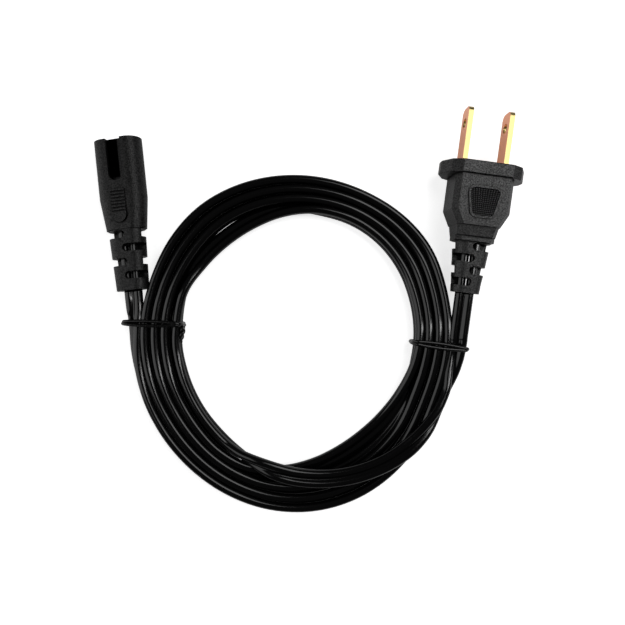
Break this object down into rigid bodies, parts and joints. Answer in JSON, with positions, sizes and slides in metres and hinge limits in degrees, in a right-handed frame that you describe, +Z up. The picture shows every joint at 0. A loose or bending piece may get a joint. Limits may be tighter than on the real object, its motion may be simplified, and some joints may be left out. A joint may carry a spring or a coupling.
{
  "type": "figure eight mains lead",
  "caption": "Flat twin mains lead in a tied coil, with a figure eight connector at one end and a flat-blade plug at the other.",
  "frame": {"origin": "on the surface that the lead lies on, under the middle of the connector's bounding box", "axes": "+Y along the connector towards its mating face, +Z up, +X towards the coil"},
  "size_m": [0.1322, 0.1225, 0.0155],
  "materials": {
    "moulding": "fine matte grain, moulded black vinyl",
    "cord": "smooth glossy black vinyl",
    "tie": "smooth black plastic coat over wire",
    "inner_plastic": "hard black moulded insert",
    "blade": "bright rolled brass with a warm pink cast",
    "brass": "formed spring brass",
    "copper": "bare copper strand"
  },
  "bodies": {
    "root": {"connector_body": "moulding", "contact_carrier": "inner_plastic", "socket_contact_left": "brass", "socket_contact_right": "brass", "connector_strand_left": "copper", "connector_strand_right": "copper", "connector_core_left": "cord", "connector_core_right": "cord", "plug_body": "moulding", "plug_bridge": "inner_plastic", "blade_left": "blade", "blade_right": "blade", "plug_strand_left": "copper", "plug_strand_right": "copper", "plug_core_left": "cord", "plug_core_right": "cord", "cord_connector_end": "cord", "cord_coil": "cord", "cord_plug_end": "cord", "tie_left": "tie", "tie_right": "tie"}
  },
  "joints": []
}
